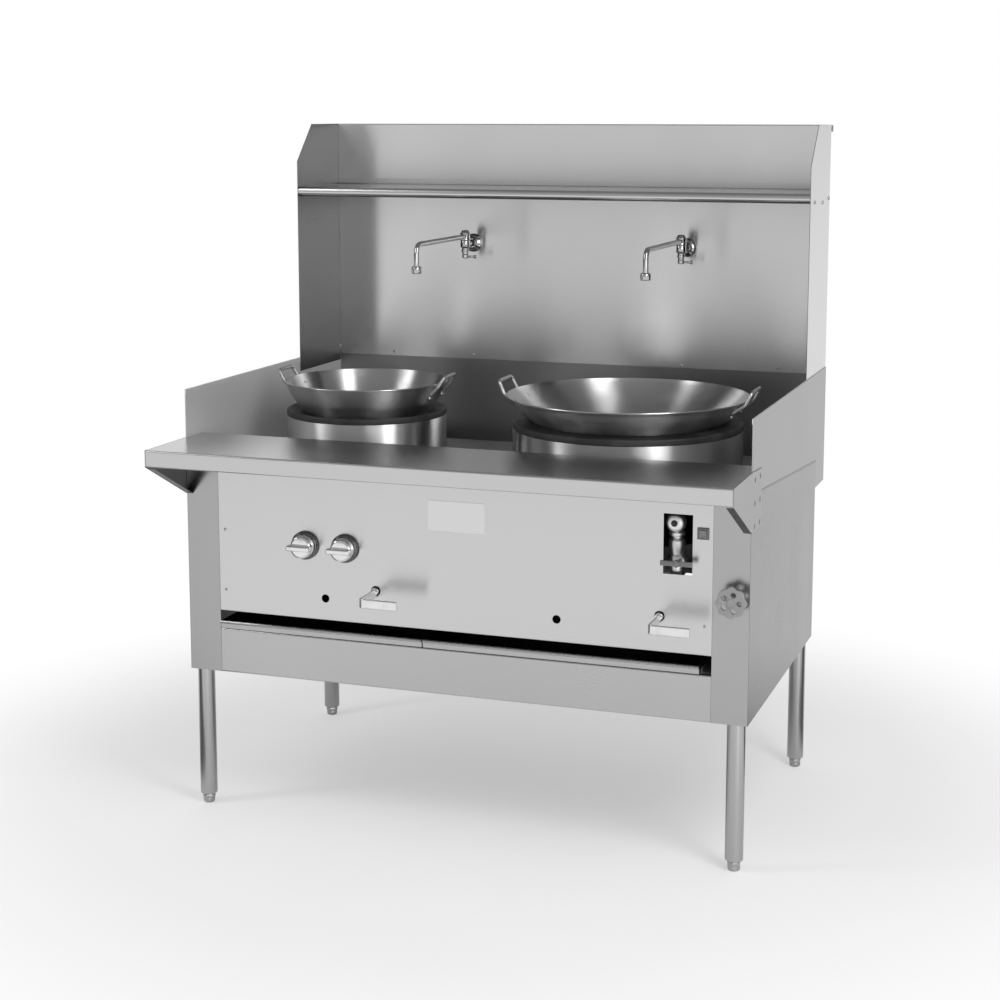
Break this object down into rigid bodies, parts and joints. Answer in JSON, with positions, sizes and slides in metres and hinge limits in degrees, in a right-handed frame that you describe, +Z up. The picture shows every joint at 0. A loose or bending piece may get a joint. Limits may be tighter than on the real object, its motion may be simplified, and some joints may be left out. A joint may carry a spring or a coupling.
{
  "type": "two_chamber_gas_wok_range",
  "caption": "Stainless gas wok range on tube legs with raised wok chambers, lever valves, front ledge, rear gutter, tall back guard, overshelf and swing faucets",
  "frame": {"origin": "on the floor, under the centre of the whole outline (ledge front to guard flange, bracket to bracket)", "axes": "+X to the right when facing the controls, +Y to the back, +Z up"},
  "size_m": [1.3752, 1.142, 1.6475],
  "materials": {
    "brushed_stainless": "brushed stainless sheet, grain across the front and up the back guard",
    "polished_stainless": "bright rolled stainless with fine turning marks",
    "chrome": "bright plating",
    "black_iron": "seasoned dark casting",
    "frame_steel": "grey primed angle",
    "foot_steel": "dull plated",
    "pipe": "dark mill-coated pipe",
    "brass": "satin, as machined",
    "grey_enamel": "satin enamel over a casting",
    "black_plastic": "moulded, fine matt"
  },
  "bodies": {
    "cabinet": {"leg_front_left": "brushed_stainless", "leg_front_right": "brushed_stainless", "leg_rear_left": "brushed_stainless", "leg_rear_right": "brushed_stainless", "base_frame": "frame_steel", "side_panel_left": "brushed_stainless", "side_panel_right": "brushed_stainless", "control_panel": "brushed_stainless", "apron": "brushed_stainless", "cabinet_back": "brushed_stainless", "ledge": "brushed_stainless", "ledge_bracket_left": "brushed_stainless", "ledge_bracket_right": "brushed_stainless", "side_splash_left": "brushed_stainless", "side_splash_right": "brushed_stainless", "deck_plate": "brushed_stainless", "gutter": "brushed_stainless", "back_guard": "brushed_stainless", "wing_left": "brushed_stainless", "wing_right": "brushed_stainless", "overshelf": "brushed_stainless", "igniter_bezel": "brushed_stainless", "tray_rack": "frame_steel", "chamber_left": "polished_stainless", "wok_ring_left": "black_iron", "burner_left": "black_iron", "gas_valve_left": "brass", "pilot_valve_left": "brass", "faucet_body_left": "chrome", "chamber_right": "polished_stainless", "wok_ring_right": "black_iron", "burner_right": "black_iron", "gas_valve_right": "brass", "pilot_valve_right": "brass", "faucet_body_right": "chrome", "gas_manifold": "pipe", "gas_inlet_pipe": "pipe", "safety_valve": "chrome", "shutoff_valve": "brass"},
    "foot_front_left": {"foot_front_left": "foot_steel"},
    "foot_front_right": {"foot_front_right": "foot_steel"},
    "foot_rear_left": {"foot_rear_left": "foot_steel"},
    "foot_rear_right": {"foot_rear_right": "foot_steel"},
    "drip_tray_left": {"drip_tray_left": "brushed_stainless"},
    "drip_tray_right": {"drip_tray_right": "brushed_stainless"},
    "wok_left": {"wok_left": "polished_stainless"},
    "wok_right": {"wok_right": "polished_stainless"},
    "drain_strainer": {"drain_strainer": "polished_stainless"},
    "gas_lever_left": {"gas_lever_left": "chrome"},
    "pilot_knob_left": {"pilot_knob_left": "chrome"},
    "gas_lever_right": {"gas_lever_right": "chrome"},
    "pilot_knob_right": {"pilot_knob_right": "chrome"},
    "reset_button": {"reset_button": "black_plastic"},
    "tee_handle": {"tee_handle": "grey_enamel"},
    "igniter_button": {"igniter_button": "black_plastic"},
    "handwheel": {"handwheel": "grey_enamel"},
    "faucet_spout_left": {"faucet_spout_left": "chrome"},
    "faucet_spout_right": {"faucet_spout_right": "chrome"},
    "faucet_lever_left": {"faucet_lever_left": "chrome"},
    "faucet_lever_right": {"faucet_lever_right": "chrome"}
  },
  "joints": [
    {"name": "foot_front_left_screw", "type": "slide", "parent": "cabinet", "child": "foot_front_left", "axis": [0, 0, -1], "range_m": [0, 0.025]},
    {"name": "foot_front_right_screw", "type": "slide", "parent": "cabinet", "child": "foot_front_right", "axis": [0, 0, -1], "range_m": [0, 0.025]},
    {"name": "foot_rear_left_screw", "type": "slide", "parent": "cabinet", "child": "foot_rear_left", "axis": [0, 0, -1], "range_m": [0, 0.025]},
    {"name": "foot_rear_right_screw", "type": "slide", "parent": "cabinet", "child": "foot_rear_right", "axis": [0, 0, -1], "range_m": [0, 0.025]},
    {"name": "drip_tray_left_slide", "type": "slide", "parent": "cabinet", "child": "drip_tray_left", "axis": [0, -1, 0], "range_m": [0, 0.55]},
    {"name": "drip_tray_right_slide", "type": "slide", "parent": "cabinet", "child": "drip_tray_right", "axis": [0, -1, 0], "range_m": [0, 0.55]},
    {"name": "wok_left_lift", "type": "slide", "parent": "cabinet", "child": "wok_left", "axis": [0, 0, 1], "range_m": [0, 0.2]},
    {"name": "wok_right_lift", "type": "slide", "parent": "cabinet", "child": "wok_right", "axis": [0, 0, 1], "range_m": [0, 0.2]},
    {"name": "drain_strainer_lift", "type": "slide", "parent": "cabinet", "child": "drain_strainer", "axis": [0, 0, 1], "range_m": [0, 0.06]},
    {"name": "gas_lever_left_turn", "type": "hinge", "parent": "cabinet", "child": "gas_lever_left", "pos_m": [-0.1976, -0.378, 0.575], "axis": [0, 1, 0], "range_deg": [0, 90]},
    {"name": "pilot_knob_left_turn", "type": "hinge", "parent": "cabinet", "child": "pilot_knob_left", "pos_m": [-0.376, -0.378, 0.671], "axis": [0, -1, 0], "range_deg": [0, 90]},
    {"name": "gas_lever_right_turn", "type": "hinge", "parent": "cabinet", "child": "gas_lever_right", "pos_m": [0.4836, -0.378, 0.575], "axis": [0, 1, 0], "range_deg": [0, 90]},
    {"name": "pilot_knob_right_turn", "type": "hinge", "parent": "cabinet", "child": "pilot_knob_right", "pos_m": [-0.274, -0.378, 0.671], "axis": [0, -1, 0], "range_deg": [0, 90]},
    {"name": "reset_button_press", "type": "slide", "parent": "cabinet", "child": "reset_button", "axis": [0, 1, 0], "range_m": [0, 0.0035], "stiffness_N_per_m": 1200},
    {"name": "tee_handle_turn", "type": "hinge", "parent": "cabinet", "child": "tee_handle", "pos_m": [0.527, -0.378, 0.703], "axis": [0, 1, 0], "range_deg": [0, 90]},
    {"name": "igniter_button_press", "type": "slide", "parent": "cabinet", "child": "igniter_button", "axis": [0, 1, 0], "range_m": [0, 0.003], "stiffness_N_per_m": 1200},
    {"name": "handwheel_turn", "type": "hinge", "parent": "cabinet", "child": "handwheel", "pos_m": [0.652, -0.378, 0.628], "axis": [0, 1, 0], "range_deg": [0, 720]},
    {"name": "faucet_spout_left_swing", "type": "hinge", "parent": "cabinet", "child": "faucet_spout_left", "pos_m": [-0.283, 0.4604, 1.348], "axis": [0, 0, 1], "range_deg": [-75, 50]},
    {"name": "faucet_spout_right_swing", "type": "hinge", "parent": "cabinet", "child": "faucet_spout_right", "pos_m": [0.314, 0.4604, 1.348], "axis": [0, 0, 1], "range_deg": [-50, 75]},
    {"name": "faucet_lever_left_turn", "type": "hinge", "parent": "cabinet", "child": "faucet_lever_left", "pos_m": [-0.283, 0.4604, 1.294], "axis": [0, 0, -1], "range_deg": [0, 90]},
    {"name": "faucet_lever_right_turn", "type": "hinge", "parent": "cabinet", "child": "faucet_lever_right", "pos_m": [0.314, 0.4604, 1.294], "axis": [0, 0, -1], "range_deg": [0, 90]}
  ]
}
